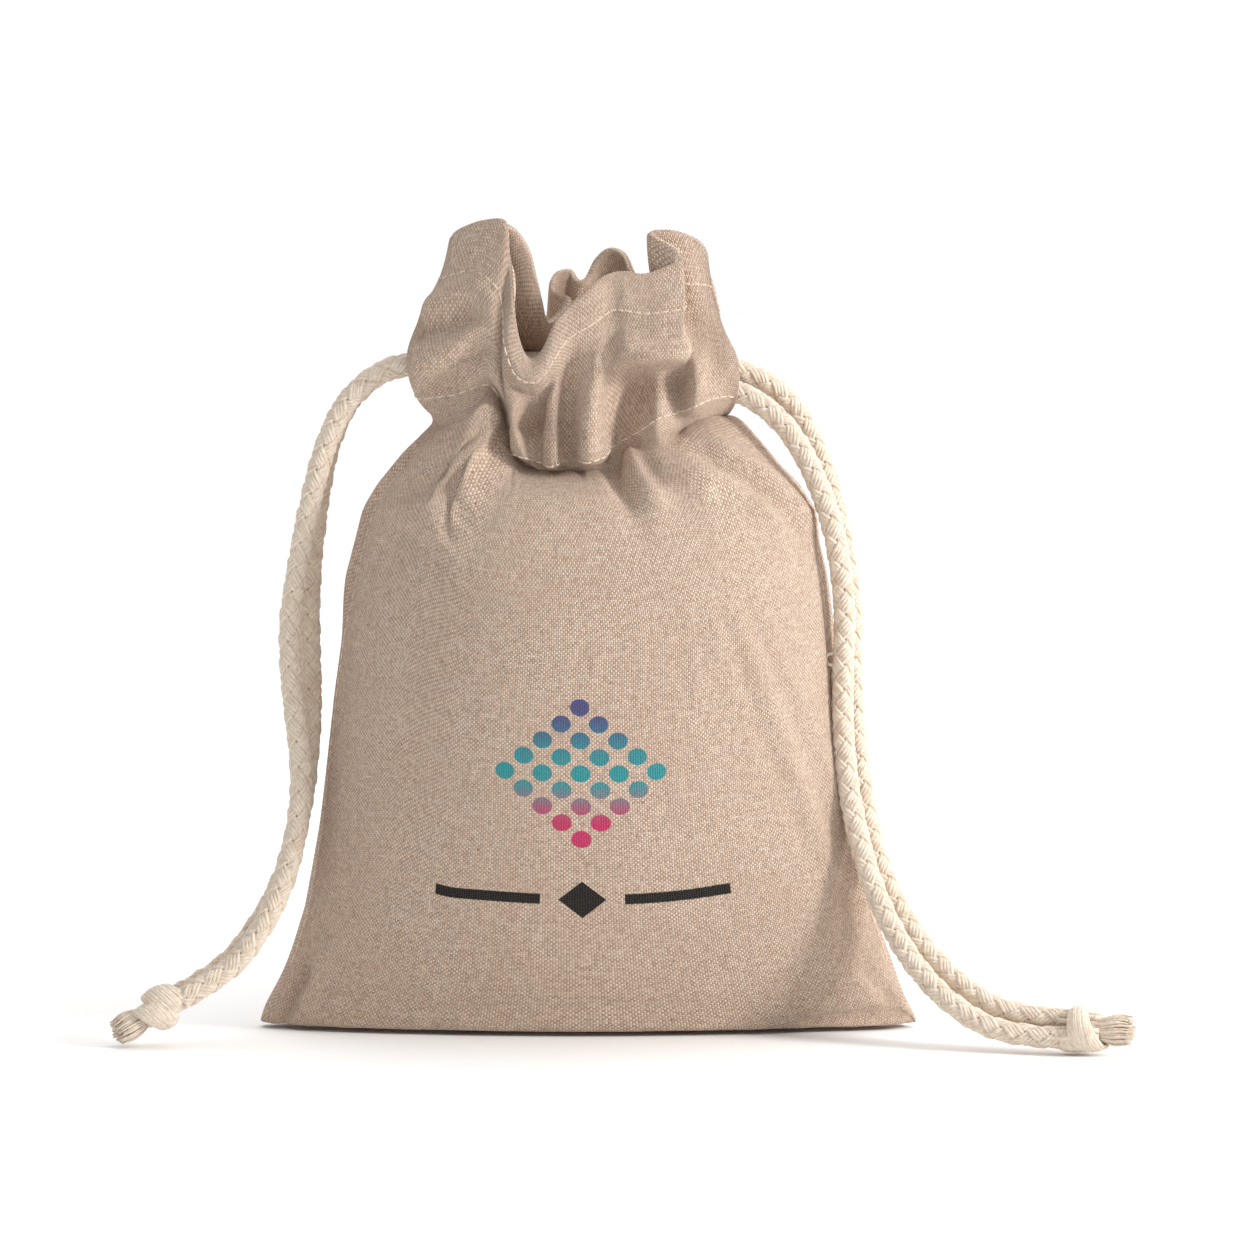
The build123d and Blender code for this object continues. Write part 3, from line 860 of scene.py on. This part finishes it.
def cloth_object(name, points, faces, uvs, material, thickness, hem=()):
    """Cloth with its flat place as its UV map, in mm.  The hem's points are twice as thick."""
    obj = mesh_object(name, [p * MM for p in points], faces, material)
    mesh = obj.data
    layer = mesh.uv_layers.new(name="flat")
    for polygon, corners in zip(mesh.polygons, uvs):
        for loop, corner in zip(polygon.loop_indices, corners):
            layer.data[loop].uv = corner
    group = obj.vertex_groups.new(name="layers")
    group.add(list(range(len(points))), 0.5, "REPLACE")
    group.add(list(hem), 1.0, "REPLACE")
    bm = bmesh.new()
    bm.from_mesh(mesh)
    loose = [v for v in bm.verts if not v.link_faces]
    bmesh.ops.delete(bm, geom=loose, context="VERTS")
    bm.to_mesh(mesh)
    bm.free()
    solid = obj.modifiers.new("thickness", "SOLIDIFY")
    solid.thickness = 2 * thickness
    solid.vertex_group = "layers"
    solid.offset = -1
    subdivision = obj.modifiers.new("smooth", "SUBSURF")
    subdivision.levels = 1
    subdivision.render_levels = 1
    subdivision.uv_smooth = "PRESERVE_BOUNDARIES"
    return obj


def grid_uvs():
    uvs = []
    for row in range(ROWS):
        for column in range(ROW_SIZE - 1):
            if column != COLUMNS:
                low, high = row * FLAT_HEIGHT / ROWS, (row + 1) * FLAT_HEIGHT / ROWS
                left, right = column_place(column)[1], column_place(column)[1] + FLAT_WIDTH / COLUMNS
                uvs.append(((left, low), (right, low), (right, high), (left, high)))
    return uvs


LINING_ROWS = 16
LINING_Y = 0.5           # how near the middle of the neck the casing's inner layer lies
LINING_TOP = 154.2       # it passes over the cords at this height
LINING_SHARE = 0.88      # of the neck's width
LINING_LEAVES = 8.0      # depth where it leaves the outer layer
LINING_OVER = 15.0       # depth where it is over the cords
LINING_GAP = 0.9         # between the middles of the two layers where they lie together


def lining_object(name, flap, material):
    """The turned-in layer of one side, which closes the casing round the cords."""
    side = -1 if flap == 0 else 1
    points, faces, uvs = [], [], []
    for row in range(LINING_ROWS + 1):
        depth = CASING_BOTTOM * row / LINING_ROWS
        inward = smooth(LINING_LEAVES, LINING_OVER, depth) * (1 - smooth(30.0, CASING_BOTTOM, depth))
        for column in range(COLUMNS + 1):
            u = flap * FLAT_WIDTH + column * FLAT_WIDTH / COLUMNS
            outer = neck_point(flap, u, depth)
            near = neck_point(flap, min(u + 1, (flap + 1) * FLAT_WIDTH), depth)
            before = neck_point(flap, max(u - 1, flap * FLAT_WIDTH), depth)
            above = neck_point(flap, u, max(0.0, depth - 1))
            below = neck_point(flap, u, depth + 1)
            normal = (near - before).cross(above - below).normalized()
            close = outer - normal * LINING_GAP * smooth(-1.0, 3.0, depth)
            bottom = neck_point(flap, u, CASING_BOTTOM).z - 0.5
            z = mix(LINING_TOP, bottom, smooth(LINING_OVER, 33.0, depth))
            deep = Vector((outer.x * LINING_SHARE, side * LINING_Y, z))
            point = close.lerp(deep, inward)
            if depth < LINING_OVER:
                point.z = mix(close.z, deep.z, 1 - (1 - inward) ** 2)
            points.append(point)
    wide = COLUMNS + 1
    for row in range(LINING_ROWS):
        for column in range(COLUMNS):
            a = row * wide + column
            faces.append((a + wide, a + wide + 1, a + 1, a))
            left = flap * FLAT_WIDTH + column * FLAT_WIDTH / COLUMNS
            right = left + FLAT_WIDTH / COLUMNS
            low = CASING_BOTTOM * row / LINING_ROWS
            high = CASING_BOTTOM * (row + 1) / LINING_ROWS
            uvs.append(((left, high), (right, high), (right, low), (left, low)))
    return cloth_object(name, points, faces, uvs, material, 0.0005)


# ---------------------------------------------------------------- cords

def unit(vector):
    return Vector(vector).normalized()


def knot_frame(into, apart):
    """The three directions of a knot: along its cords, across both, and square to them."""
    into, apart = unit(into), unit(apart)
    apart = unit(apart - into * apart.dot(into))
    return into, apart, into.cross(apart)


def strand_route(route, knot, into, apart, sign):
    """A route of the CAD with its last run into the knot."""
    into, apart, _ = knot_frame(into, apart)
    end = knot - into * (KNOT_LENGTH / 2) + apart * (sign * STRAND_APART)
    return [Vector(p) for p in route] + [end - into * LAST_RUN, end]


def spline_points(route):
    """Points along the smooth NURBS line of a route, in metres."""
    curve = bpy.data.curves.new("route", "CURVE")
    curve.dimensions = "3D"
    spline = curve.splines.new("NURBS")
    spline.points.add(len(route) - 1)
    for point, place in zip(spline.points, route):
        point.co = (*(place * MM), 1)
    spline.order_u = 3
    spline.use_endpoint_u = True
    spline.resolution_u = 24
    obj = add_object("route", curve)
    mesh = bpy.data.meshes.new_from_object(obj)
    points = [v.co.copy() for v in mesh.vertices]
    bpy.data.objects.remove(obj)
    bpy.data.curves.remove(curve)
    bpy.data.meshes.remove(mesh)
    return points


def evenly(points, step):
    """The same line with its points a step apart, and the frame that travels with it."""
    lengths = [0.0]
    for a, b in zip(points, points[1:]):
        lengths.append(lengths[-1] + (b - a).length)
    count = max(2, round(lengths[-1] / step))
    places, k = [], 0
    for i in range(count + 1):
        target = lengths[-1] * i / count
        while k < len(points) - 2 and lengths[k + 1] < target:
            k += 1
        share = (target - lengths[k]) / max(1e-9, lengths[k + 1] - lengths[k])
        places.append(points[k].lerp(points[k + 1], min(1.0, share)))
    frames = []
    side = None
    for i, place in enumerate(places):
        ahead = (places[min(i + 1, count)] - places[max(i - 1, 0)]).normalized()
        if side is None:
            side = ahead.orthogonal().normalized()
        side = (side - ahead * side.dot(ahead)).normalized()
        frames.append((place, ahead, side, ahead.cross(side)))
    return frames, lengths[-1] / count


def tube(verts, faces, uvs, line, radii, sides, offset):
    """Add one yarn's tube along a line of points."""
    first = len(verts)
    run = 0.0
    side = None
    count = len(line)
    for i, place in enumerate(line):
        ahead = (line[min(i + 1, count - 1)] - line[max(i - 1, 0)]).normalized()
        if side is None:
            side = ahead.orthogonal().normalized()
        side = (side - ahead * side.dot(ahead)).normalized()
        other = ahead.cross(side)
        if i:
            run += (place - line[i - 1]).length
        for k in range(sides):
            angle = 2 * math.pi * k / sides
            verts.append(place + (side * math.cos(angle) + other * math.sin(angle)) * radii[i])
        if i:
            for k in range(sides):
                j = (k + 1) % sides
                a, b = first + (i - 1) * sides, first + i * sides
                faces.append((a + k, a + j, b + j, b + k))
                near, far = run / MM - (place - line[i - 1]).length / MM, run / MM
                low, high = offset + k / sides, offset + (k + 1) / sides
                uvs.append(((near, low), (near, high), (far, high), (far, low)))
    for ring in (first, len(verts) - sides):
        faces.append(tuple(range(ring, ring + sides)))
        uvs.append(tuple((0.0, offset) for _ in range(sides)))


def yarn_object(name, lines, radii, sides, material):
    verts, faces, uvs = [], [], []
    for number, line in enumerate(lines):
        tube(verts, faces, uvs, line, radii[number], sides, number * 1.37)
    obj = mesh_object(name, verts, faces, material)
    layer = obj.data.uv_layers.new(name="along")
    for polygon, corners in zip(obj.data.polygons, uvs):
        for loop, corner in zip(polygon.loop_indices, corners):
            layer.data[loop].uv = corner
    return obj


CARRIERS = 3             # plaits that turn each way
YARNS = 4                # yarns side by side in one plait
BRAID_LAY = 17.0 * MM    # length of one full turn of a plait
BRAID_RADIUS = 1.72 * MM
BRAID_WAVE = 0.42 * MM   # how far a plait rises and dips over the others
YARN_RADIUS = 0.52 * MM
YARN_SPREAD = 0.43       # radians between the yarns of a plait
BRAID_STEP = 0.55 * MM
SNAG_ON = ("right", "front")
SNAG_HEIGHT = 85.0


def braid_lines(points, rng):
    """The yarns of a round braid along a line."""
    frames, step = evenly(points, BRAID_STEP)
    lines, radii = [], []
    for turn in (1, -1):
        for carrier in range(CARRIERS):
            for yarn in range(YARNS):
                lean = (yarn - (YARNS - 1) / 2) * YARN_SPREAD
                wobble = rng.uniform(0, 6.28)
                line, radius = [], []
                for i, (place, _, side, other) in enumerate(frames):
                    phase = 2 * math.pi * i * step / BRAID_LAY
                    angle = turn * phase + 2 * math.pi * carrier / CARRIERS + lean
                    rise = turn * math.cos(CARRIERS * (phase + turn * lean / 2))
                    out = BRAID_RADIUS + BRAID_WAVE * rise + 0.05 * MM * math.sin(i * 0.31 + wobble)
                    line.append(place + (side * math.cos(angle) + other * math.sin(angle)) * out)
                    radius.append(YARN_RADIUS * (1 + 0.08 * math.sin(i * 0.19 + wobble)))
                lines.append(line)
                radii.append(radius)
    return lines, radii


def snag_line(points, height, toward):
    """A small loop of yarn pulled out of a cord, at a height above the floor."""
    place = min(points, key=lambda point: abs(point.z - height * MM))
    root = place + toward * (CORD / 2 - 0.5) * MM
    line = []
    for i in range(13):
        angle = math.pi * (i / 12 * 1.5 - 0.75)
        reach = toward * (math.cos(angle) + 0.6) + Vector((0, -0.2, math.sin(angle)))
        line.append(root + reach * 1.3 * MM)
    return line


FUZZ_RADIUS = 0.018 * MM
FUZZ_SEGMENTS = 4


def fuzz_object(name, paths, amount, reach, radius, rng, material):
    """Loose fibres that stand off a cord: this many for each step along it."""
    verts, faces = [], []
    for points in paths:
        frames = evenly(points, 0.5 * MM)[0]
        for _ in range(int(amount * len(frames))):
            place, ahead, side, other = rng.choice(frames)
            angle = rng.uniform(0, 2 * math.pi)
            out = side * math.cos(angle) + other * math.sin(angle)
            across = ahead.cross(out)
            start = place + out * (radius * rng.uniform(0.8, 0.98))
            length = reach * rng.uniform(0.3, 1.0)
            lean = ahead * rng.uniform(-1, 1) + out * rng.uniform(0.15, 0.8)
            lean = (lean + across * rng.uniform(-0.6, 0.6)).normalized()
            bend = out * rng.uniform(-0.3, 0.6) + ahead * rng.uniform(-0.8, 0.8)
            bend = bend + across * rng.uniform(-0.6, 0.6)
            first = len(verts)
            for i in range(FUZZ_SEGMENTS + 1):
                t = i / FUZZ_SEGMENTS
                point = start + lean * (length * t) + bend * (length * t * t * 0.6)
                half = FUZZ_RADIUS * (1 - 0.7 * t)
                wide = lean.cross(bend)
                wide = wide.normalized() if wide.length > 1e-9 else across
                tall = lean.cross(wide).normalized()
                verts += [point + wide * half, point - wide * half * 0.5 + tall * half * 0.87,
                          point - wide * half * 0.5 - tall * half * 0.87]
            for i in range(FUZZ_SEGMENTS):
                a, b = first + 3 * i, first + 3 * i + 3
                for k in range(3):
                    j = (k + 1) % 3
                    faces.append((a + k, a + j, b + j, b + k))
    obj = mesh_object(name, verts, faces, material)
    obj.data.uv_layers.new(name="along")
    return obj


WRAP_YARNS = 11
WRAP_WIDTH = 6.6         # of the band of yarns that goes round the knot
WRAP_TURNS = 1.28
WRAP_RADIUS = 2.6
END_YARNS = 180


def knot_lines(knot, into, apart, rng):
    """Yarns of the cord's last wrap round both strands, pulled tight."""
    into, apart, third = knot_frame(into, apart)
    lines, radii = [], []
    steps = 64
    for yarn in range(WRAP_YARNS):
        across = yarn / (WRAP_YARNS - 1) - 0.5
        line, radius = [], []
        wobble = rng.uniform(-0.25, 0.25)
        for i in range(steps + 1):
            t = i / steps
            angle = 2 * math.pi * (WRAP_TURNS * t - 0.1)
            width = WRAP_WIDTH * (0.75 + 0.25 * math.sin(angle + 0.8))
            shift = across * width + mix(-2.6, 2.4, t) + wobble
            bulge = math.sqrt(max(0.0, 1 - (1.6 * across) ** 2 * 0.9))
            out = WRAP_RADIUS + 2.1 * bulge
            out = out - 1.5 * smooth(0.9, 1.0, t) - 1.5 * (1 - smooth(0.0, 0.1, t))
            place = knot + into * (shift + 0.9 * math.sin(angle))
            place = place + apart * (math.cos(angle) * out * 1.04) + third * (math.sin(angle) * out * 0.96)
            line.append(place * MM)
            radius.append(0.55 * MM)
        lines.append(line)
        radii.append(radius)
    # The two strands run on inside the wrap.
    for strand in (-1, 1):
        for yarn in range(8):
            angle = 2 * math.pi * yarn / 8
            line = []
            for i in range(9):
                t = i / 8
                out = mix(STRAND_APART, 1.7, t) * strand + 1.75 * math.cos(angle)
                place = knot + into * mix(-6.0, 4.5, t) + apart * out + third * (1.75 * math.sin(angle))
                line.append(place * MM)
            lines.append(line)
            radii.append([0.7 * MM] * len(line))
    return lines, radii


def end_lines(knot, into, apart, rng):
    """Yarns of the two cut ends beyond the knot, which open out."""
    into, apart, third = knot_frame(into, apart)
    lines, radii = [], []
    for _ in range(END_YARNS):
        angle = rng.uniform(0, 2 * math.pi)
        share = math.sqrt(rng.uniform(0.0, 1.0))
        length = rng.uniform(9.4, 10.8) - 1.2 * share
        line, radius = [], []
        for i in range(15):
            t = i / 14
            open_out = 1.9 + 1.9 * smooth(0.05, 0.7, t) - 0.5 * smooth(0.7, 1.0, t)
            curl = 0.2 * math.sin(7 * t + angle)
            out = share * open_out
            place = knot + into * (2.0 + length * t) + apart * (math.cos(angle) * out + curl)
            place = place + third * (math.sin(angle) * out * 0.85)
            place.z = max(place.z, 0.6)
            line.append(place * MM)
            radius.append(0.32 * MM * (1 - 0.5 * smooth(0.6, 1.0, t)))
        lines.append(line)
        radii.append(radius)
    return lines, radii


def add_cord(side, routes, knot, into, apart, material):
    rng = random.Random(11 if side == "left" else 12)
    body = f"{side}_cord"
    knot_obj = yarn_object(f"{side}_knot_wrap", *knot_lines(knot, into, apart, rng), 7, material)
    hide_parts(f"{side}_knot")
    ends_obj = yarn_object(f"{side}_cut_ends", *end_lines(knot, into, apart, rng), 6, material)
    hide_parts(f"{side}_cord_ends")
    for obj in (knot_obj, ends_obj):
        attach(obj, body)
    paths = []
    for place, route, sign in (("front", routes[0], 1), ("back", routes[1], -1)):
        line = spline_points(strand_route(route, knot, into, apart, sign))
        paths.append(line)
        yarns, widths = braid_lines(line, rng)
        if (side, place) == SNAG_ON:
            yarns.append(snag_line(line, SNAG_HEIGHT, Vector((-1, 0, 0))))
            widths.append([0.4 * MM] * len(yarns[-1]))
        cord = yarn_object(f"{side}_{place}_strand", yarns, widths, 6, material)
        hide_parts(f"{side}_cord_{place}_tail")
        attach(cord, body)
    fuzz = fuzz_object(f"{side}_cord_fuzz", paths, 1.6, 1.8 * MM, CORD / 2 * MM, rng, material)
    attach(fuzz, body)


INNER_Y = 4.4            # the cords run this close to the middle of the neck
INNER_DIP = 1.2          # and the upper one sags with the casing under the notch in its front
NOTCH_X = -12.0
NOTCH_REACH = 5.5
TURN_RADIUS = 10.2
LEFT_CORD_TURN = Vector((19.3, 0.0, 156.5))
RIGHT_CORD_TURN = Vector((-21.8, 0.0, 143.5))


def add_inner_cord(side, routes, height, dip, turn, outward, material):
    """The cord inside the casings, and the loop where it turns from the front to the back."""
    rng = random.Random(21 if side == "left" else 22)
    for place, route, sign in (("front", routes[0], -1), ("back", routes[1], 1)):
        start, end = Vector(route[0]), Vector((turn.x, sign * INNER_Y, height))
        inner = []
        for i in range(16):
            point = start.lerp(end, i / 15)
            point.z -= dip * math.exp(-((point.x - NOTCH_X) / NOTCH_REACH) ** 2)
            inner.append(point)
        piece = yarn_object(f"{side}_{place}_inner", *braid_lines(spline_points(inner), rng), 6, material)
        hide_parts(f"{side}_cord_{place}_inner")
        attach(piece, f"{side}_cord")
    loop = []
    for i in range(9):
        angle = math.pi * (i / 8 - 0.5)
        loop.append(turn + Vector((outward * math.cos(angle), math.sin(angle), 0)) * TURN_RADIUS)
    piece = yarn_object(f"{side}_loop", *braid_lines(spline_points(loop), rng), 6, material)
    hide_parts(f"{side}_cord_turn")
    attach(piece, "sack")


# ---------------------------------------------------------------- stitches

def surface_point(points, flap, u, v):
    """A point of the settled cloth and its outward normal, in mm."""
    column = u / FLAT_WIDTH * COLUMNS + flap
    row = v / FLAT_HEIGHT * ROWS
    c = min(math.floor(column), COLUMNS - 1 if flap == 0 else ROW_SIZE - 2)
    r = min(math.floor(row), ROWS - 1)
    across, up = column - c, row - r
    a, b = points[grid_index(c, r)], points[grid_index(c + 1, r)]
    d, e = points[grid_index(c, r + 1)], points[grid_index(c + 1, r + 1)]
    place = a.lerp(b, across).lerp(d.lerp(e, across), up)
    normal = (b - a + e - d).cross(d - a + e - b).normalized()
    return place, normal


STITCH_PITCH = 3.1
STITCH_LENGTH = 2.2
STITCH_RADIUS = 0.19
STITCH_RISE = 0.18       # the middle of a stitch stands off its ends by this


def stitches(name, points, runs, material):
    """Rows of stitches.  Each row: its flap, its start on the flat cloth, its direction there
    and how long it is."""
    steps = 6
    lines, radii = [], []
    for flap, start, direction, reach in runs:
        for i in range(int(reach / STITCH_PITCH)):
            line = []
            for k in range(steps):
                share = k / (steps - 1)
                along = i * STITCH_PITCH + STITCH_LENGTH * share
                place, normal = surface_point(
                    points, flap, start[0] + direction[0] * along, start[1] + direction[1] * along,
                )
                lift = STITCH_RISE * math.sin(math.pi * share) - 0.1
                line.append((place + normal * lift) * MM)
            lines.append(line)
            radii.append([STITCH_RADIUS * MM] * steps)
    obj = yarn_object(name, lines, radii, 6, material)
    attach(obj, "sack")
    return obj


def rows_at(v):
    """A row of stitches across each flap, at a height on the flat cloth."""
    return [(flap, (flap * FLAT_WIDTH + 2, v), (1, 0), FLAT_WIDTH - 4) for flap in (0, 1)]


# ---------------------------------------------------------------- the whole scene

def main():
    add_camera()
    yarn = yarn_material()
    add_cord("left", (LEFT_FRONT_ROUTE, LEFT_BACK_ROUTE), LEFT_KNOT, LEFT_INTO_KNOT, LEFT_APART, yarn)
    add_cord("right", (RIGHT_FRONT_ROUTE, RIGHT_BACK_ROUTE), RIGHT_KNOT, RIGHT_INTO_KNOT, RIGHT_APART, yarn)
    add_inner_cord(
        "left", (LEFT_FRONT_ROUTE, LEFT_BACK_ROUTE), LEFT_CORD_Z, INNER_DIP, LEFT_CORD_TURN, 1, yarn,
    )
    add_inner_cord(
        "right", (RIGHT_FRONT_ROUTE, RIGHT_BACK_ROUTE), RIGHT_CORD_Z, 0.0, RIGHT_CORD_TURN, -1, yarn,
    )
    add_light()
    add_floor()
    places, faces = cloth_grid()
    points = settle(places, faces)
    press_folds(points, places)
    for row in range(ROWS + 1):
        for column in range(ROW_SIZE):
            points[grid_index(column, row)] = points[joined(column, row)]
    woven = cloth_material(printed=False)
    hem = [i for i, place in enumerate(places) if place[2] > FLAT_HEIGHT - HEADER_BOTTOM]
    cloth = cloth_object(
        "sack_cloth", points, faces, grid_uvs(), cloth_material(printed=True), CLOTH * MM, hem,
    )
    linings = [
        lining_object("front_lining", 0, woven),
        lining_object("back_lining", 1, woven),
    ]
    for piece in (cloth, *linings):
        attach(piece, "sack")
    thread = thread_material()
    header_stitches = stitches("header_thread", points, rows_at(FLAT_HEIGHT - HEADER_BOTTOM), thread)
    casing_stitches = stitches("casing_thread", points, rows_at(FLAT_HEIGHT - CASING_BOTTOM), thread)
    seam_runs = [(0, (u, SEAM_BOTTOM), (0, 1), SEAM_LENGTH) for u in (SEAM_INSET, FLAT_WIDTH - SEAM_INSET)]
    seam_stitches = stitches("seam_thread", points, seam_runs, thread)
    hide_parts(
        "front_panel", "back_panel", "bottom_gusset", "front_casing", "back_casing",
        "front_header", "back_header", "left_seam_allowance", "right_seam_allowance",
    )
    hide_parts("left_seam_stitches", "right_seam_stitches")
    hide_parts("front_header_stitches", "back_header_stitches")
    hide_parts("front_casing_stitches", "back_casing_stitches")


main()
